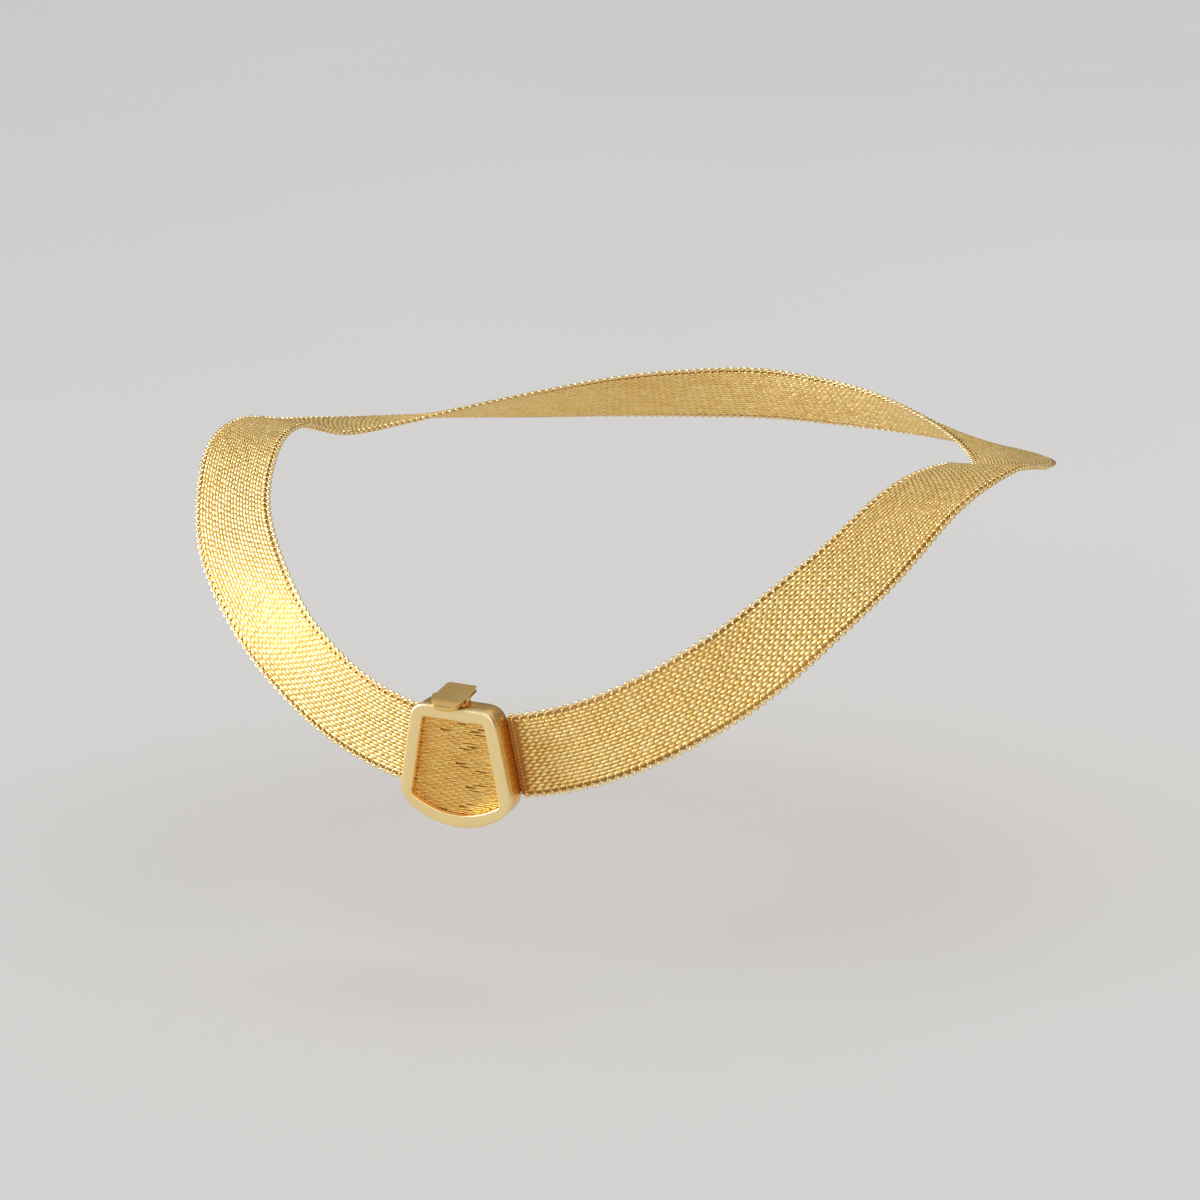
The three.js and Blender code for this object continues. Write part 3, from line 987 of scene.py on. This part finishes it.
def leverSection():
    # (depth, height) points round the lever: top from back to front, round nose, lip, and back underneath
    v = lever
    noseStart = v["front"] - v["lip"]
    crownStart = v["front"] - v["crown"]
    under = v["topFront"] - v["thickness"]
    foot = v["lipBottom"]
    topSpan = [v["topFront"] + v["rise"], v["topFront"] + v["dip"]]
    top = [(z, np.interp(z, [v["back"], crownStart], topSpan)) for z in v["topStops"]]
    nose = []
    for t in np.linspace(0, 1, 9):
        z = (1 - t) ** 2 * crownStart + (1 - (1 - t) ** 2) * v["front"]
        y = (1 - t * t) * v["topFront"] + t * t * (foot + v["noseFoot"]) + v["dip"] * (1 - t) ** 2
        nose.append((z, y))
    lip = [(v["front"] - back, foot + up) for back, up in v["lipEdge"]]
    lip += [(noseStart + v["lipEase"], foot), (noseStart, foot + v["lipEase"])]
    below = [(noseStart, under - 0.25), (noseStart - 0.25, under + 0.02)]
    below += [(z, np.interp(z, [v["back"], noseStart], [under + v["rise"], under])) for z in v["underStops"]]
    return top + nose + lip + below


def buildLever():
    section = leverSection()
    rings = []
    for share in np.linspace(-1, 1, 17):
        # the lip's lower edge rises towards both sides
        rise = lever["lipRise"] * max(abs(share) - 0.35, 0) ** 2 / 0.65 ** 2
        ring = []
        for z, y in section:
            low = max(lever["lipBottom"] + 1 - y, 0) if z > 4.2 else 0
            ring.append((hinge["x"] + share * leverHalf(z), y + rise * low, z))
        rings.append(np.array(ring))
    vertices, faces = loftRings(rings, False)
    piece = addObject("thumb_lever", meshFrom("thumb_lever", vertices, faces))
    bevelEdges(piece, lever["bevel"])
    centre = np.array([hinge["x"], hinge["height"], hinge["depth"]])
    joinOrCut(piece, *roundBar(centre, hinge["barrel"], hinge["barrelLength"]), "UNION")
    joinOrCut(piece, *roundBar(centre, hinge["hole"], 20, 24), "DIFFERENCE")
    placeInClasp(piece)
    finishPiece(piece, "lever", ["clasp_lever"], leverGold, 32)


buildBox()
buildFace()
buildPadPlate()
buildPadStrands()
buildLever()
pin = bpy.data.objects["lever_pin"]
for slot in pin.material_slots:
    slot.material = pinGold
print("clasp made")


# the stage: a plain pale floor, soft lights, and the camera
stage = {
    "floorGap": 26 * mm, "floorRadius": 4.0, "floorSides": 96,
    "surround": (0.82, 0.82, 0.83),
    # what the metal mirrors, from straight down to straight up: dim low down, a soft bright ceiling above
    "mirrored": [(0.0, 0.10), (0.5, 0.12), (0.72, 0.26), (0.97, 0.6)],
}
lights = {
    # direction, distance and size in metres, watts, colour
    "shoulderLight": ((-0.86, -0.38, 0.32), 0.9, (0.6, 0.5), 14, (0.68, 0.77, 1.0)),
    "overhead": ((0.17, 0.35, 0.93), 1.0, (0.8, 0.6), 1.2, (1, 1, 1)),
    "frontFill": ((0.12, -0.93, 0.30), 1.3, (1.1, 0.9), 4.8, (1, 1, 1)),
}
view = {
    "place": (0.31996, -0.76415, 0.18459),
    "target": (-0.0081, -0.00877, -0.02229),
    "roll": -1.63,
    "lens": 132.14,
    "sensor": 36.0,
}


def buildFloor():
    floorZ = cadBounds[0][2] - stage["floorGap"]
    sides = stage["floorSides"]
    turn = np.linspace(0, 2 * math.pi, sides, endpoint=False)
    ring = np.stack([np.cos(turn), np.sin(turn), np.zeros(sides)], 1) * stage["floorRadius"] + [0, 0, floorZ]
    floor = addObject("floor", meshFrom("floor", ring, [range(sides)]))

    def paint(tree, shader):
        place = tree.make("ShaderNodeTexCoord", output=3)
        cloud = tree.make("ShaderNodeTexNoise", Vector=place, Scale=3.0, Detail=2.0)
        tree.plug(shader, "BaseColor", tree.mixColour(cloud, (0.72, 0.71, 0.69), (0.76, 0.75, 0.73)))
        shader.inputs["Roughness"].default_value = 0.85

    floor.data.materials.append(newMaterial("paleFloor", paint))


def addLight(name, receivers):
    direction, distance, size, power, colour = lights[name]
    data = bpy.data.lights.new(name, "AREA")
    data.shape = "RECTANGLE"
    data.size = size[0]
    data.size_y = size[1]
    data.energy = power
    data.color = colour
    light = bpy.data.objects.new(name, data)
    light.visible_camera = False
    light.light_linking.receiver_collection = receivers
    scene.collection.objects.link(light)
    way = Vector(direction).normalized()
    facing = way.to_track_quat("Z", "Y").to_matrix().to_4x4()
    light.matrix_world = Matrix.Translation(way * distance) @ facing


def buildLights():
    # the side and front lights leave the floor even, and the side light leaves the pad soft
    necklace = bpy.data.collections.new("necklace")
    bandAndClasp = bpy.data.collections.new("bandAndClasp")
    for piece in scene.objects:
        if piece.type == "MESH" and piece.name != "floor":
            necklace.objects.link(piece)
            if piece.name not in ("pad_plate", "pad_strands"):
                bandAndClasp.objects.link(piece)
    addLight("shoulderLight", bandAndClasp)
    addLight("overhead", None)
    addLight("frontFill", necklace)
    world = bpy.data.worlds.new("studio")
    world.use_nodes = True
    world.node_tree.nodes.clear()
    tree = Tree(world.node_tree)
    way = tree.tree.nodes.new("ShaderNodeSeparateXYZ")
    tree.tree.links.new(tree.make("ShaderNodeTexCoord", output=0).socket, way.inputs[0])
    height = Wire(tree.tree, way.outputs[2])
    stops = [(place, (grey, grey, grey)) for place, grey in stage["mirrored"]]
    mirrored = tree.make("ShaderNodeValToRGB", {"stops": stops}, s0=height * 0.5 + 0.5)
    glossy = tree.make("ShaderNodeLightPath", output=3)
    colour = tree.mixColour(glossy, stage["surround"], mirrored)
    background = tree.make("ShaderNodeBackground", Color=colour, Strength=1.0)
    output = tree.tree.nodes.new("ShaderNodeOutputWorld")
    tree.tree.links.new(background.socket, output.inputs[0])
    scene.world = world


def buildCamera():
    scene.view_settings.view_transform = "Standard"
    data = bpy.data.cameras.new("camera")
    data.lens = view["lens"]
    data.sensor_width = view["sensor"]
    data.clip_start = 0.01
    camera = bpy.data.objects.new("camera", data)
    scene.collection.objects.link(camera)
    place = Vector(view["place"])
    look = (place - Vector(view["target"])).to_track_quat("Z", "Y").to_matrix().to_4x4()
    roll = Matrix.Rotation(math.radians(view["roll"]), 4, "Z")
    camera.matrix_world = Matrix.Translation(place) @ look @ roll
    scene.camera = camera


buildFloor()
buildLights()
buildCamera()
print("stage made")
